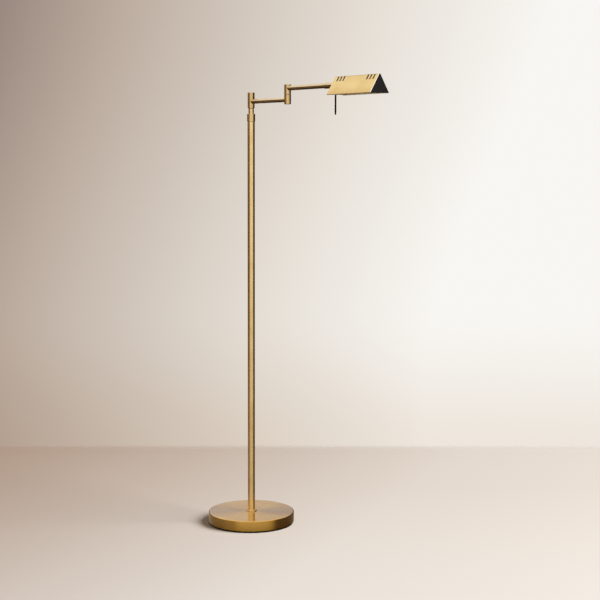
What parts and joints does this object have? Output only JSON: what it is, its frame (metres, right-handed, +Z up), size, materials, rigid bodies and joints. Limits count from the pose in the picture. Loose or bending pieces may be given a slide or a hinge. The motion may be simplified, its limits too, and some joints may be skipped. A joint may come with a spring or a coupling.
{
  "type": "adjustable floor lamp",
  "caption": "Weighted round base, telescoping pole with a lock collar, jointed swing arm, and a tent-shaped metal shade that rolls on the arm, with a dimmer wand.",
  "frame": {"origin": "centre of the base's underside, on the floor", "axes": "+Z up along the pole; +X from the pole along both arms to the shade, with the arms in line"},
  "size_m": [0.67, 0.23, 1.1736],
  "materials": {
    "satin_brass": "satin lacquered brass, brushed round the tubes",
    "shade_brass": "satin lacquered brass sheet",
    "base_brass": "polished top, finely turned rim, lacquered",
    "cast_iron": "rough cast",
    "black_rubber": "matt black",
    "black_plastic": "fine satin black moulding",
    "wand_black": "black, semi-gloss",
    "turned_brass": "as turned",
    "zinc_steel": "bright zinc plate",
    "black_nylon": "matt black nylon",
    "lead_sheath": "smooth black sheath",
    "heat_sink": "clear anodised extrusion",
    "circuit_board": "white solder mask",
    "led_emitter": "yellow phosphor",
    "frosted_lens": "frosted acrylic"
  },
  "bodies": {
    "stand": {"base_cover": "base_brass", "base_weight": "cast_iron", "base_pad": "black_rubber", "cord_inlet": "black_rubber", "base_nipple": "turned_brass", "base_washer": "zinc_steel", "base_nut": "zinc_steel", "pole_flange": "satin_brass", "pole_foot": "turned_brass", "lower_pole": "satin_brass", "pole_coupler": "turned_brass", "upper_pole": "satin_brass", "collar_seat": "turned_brass", "grip_collet": "black_nylon", "pole_lead": "lead_sheath"},
    "lock_collar": {"height_collar": "satin_brass"},
    "mast": {"mast_tube": "satin_brass", "guide_bush": "black_nylon", "hub_stem": "turned_brass", "hub_friction_washer": "black_nylon", "hub_spring_washer": "zinc_steel", "hub_nut": "zinc_steel", "mast_lead": "lead_sheath"},
    "lower_arm": {"hub_body": "satin_brass", "hub_cap": "satin_brass", "lower_arm": "satin_brass", "lower_arm_lead": "lead_sheath", "elbow_lower": "satin_brass", "elbow_bottom_cap": "satin_brass"},
    "upper_arm": {"elbow_friction_washer": "black_nylon", "elbow_upper": "satin_brass", "elbow_cap": "satin_brass", "elbow_stem": "turned_brass", "elbow_spring_washer": "zinc_steel", "elbow_nut": "zinc_steel", "upper_arm": "satin_brass", "upper_arm_lead": "lead_sheath", "roll_spindle": "turned_brass", "roll_washer": "black_nylon", "spindle_retainer": "zinc_steel"},
    "shade": {"swivel_sleeve": "satin_brass", "arm_end_plate": "satin_brass", "shade_shell": "shade_brass", "tip_end_cap": "black_plastic", "light_bar": "heat_sink", "bar_screws": "zinc_steel", "led_board": "circuit_board", "led_chips": "led_emitter", "light_lens": "frosted_lens", "led_driver": "black_plastic", "dimmer_barrel": "satin_brass", "dimmer_control": "black_plastic", "dimmer_gland": "black_plastic"},
    "dimmer_wand": {"dimmer_wand": "wand_black", "wand_tip": "wand_black"}
  },
  "joints": [
    {"name": "collar_turn", "type": "hinge", "parent": "stand", "child": "lock_collar", "pos_m": [0, 0, 1.083], "axis": [0, 0, 1], "range_deg": [-90, 0]},
    {"name": "mast_lift", "type": "slide", "parent": "stand", "child": "mast", "axis": [0, 0, 1], "range_m": [-0.014, 0.33]},
    {"name": "hub_swing", "type": "hinge", "parent": "mast", "child": "lower_arm", "pos_m": [0, 0, 1.1254], "axis": [0, 0, 1], "range_deg": [-170, 170]},
    {"name": "elbow_swing", "type": "hinge", "parent": "lower_arm", "child": "upper_arm", "pos_m": [0.172, 0, 1.1538], "axis": [0, 0, 1], "range_deg": [-165, 165]},
    {"name": "shade_roll", "type": "hinge", "parent": "upper_arm", "child": "shade", "pos_m": [0.45, 0, 1.1538], "axis": [1, 0, 0], "range_deg": [-135, 135]},
    {"name": "wand_turn", "type": "hinge", "parent": "shade", "child": "dimmer_wand", "pos_m": [0.3788, 0, 1.11], "axis": [0, 0, 1], "range_deg": [0, 270]}
  ]
}
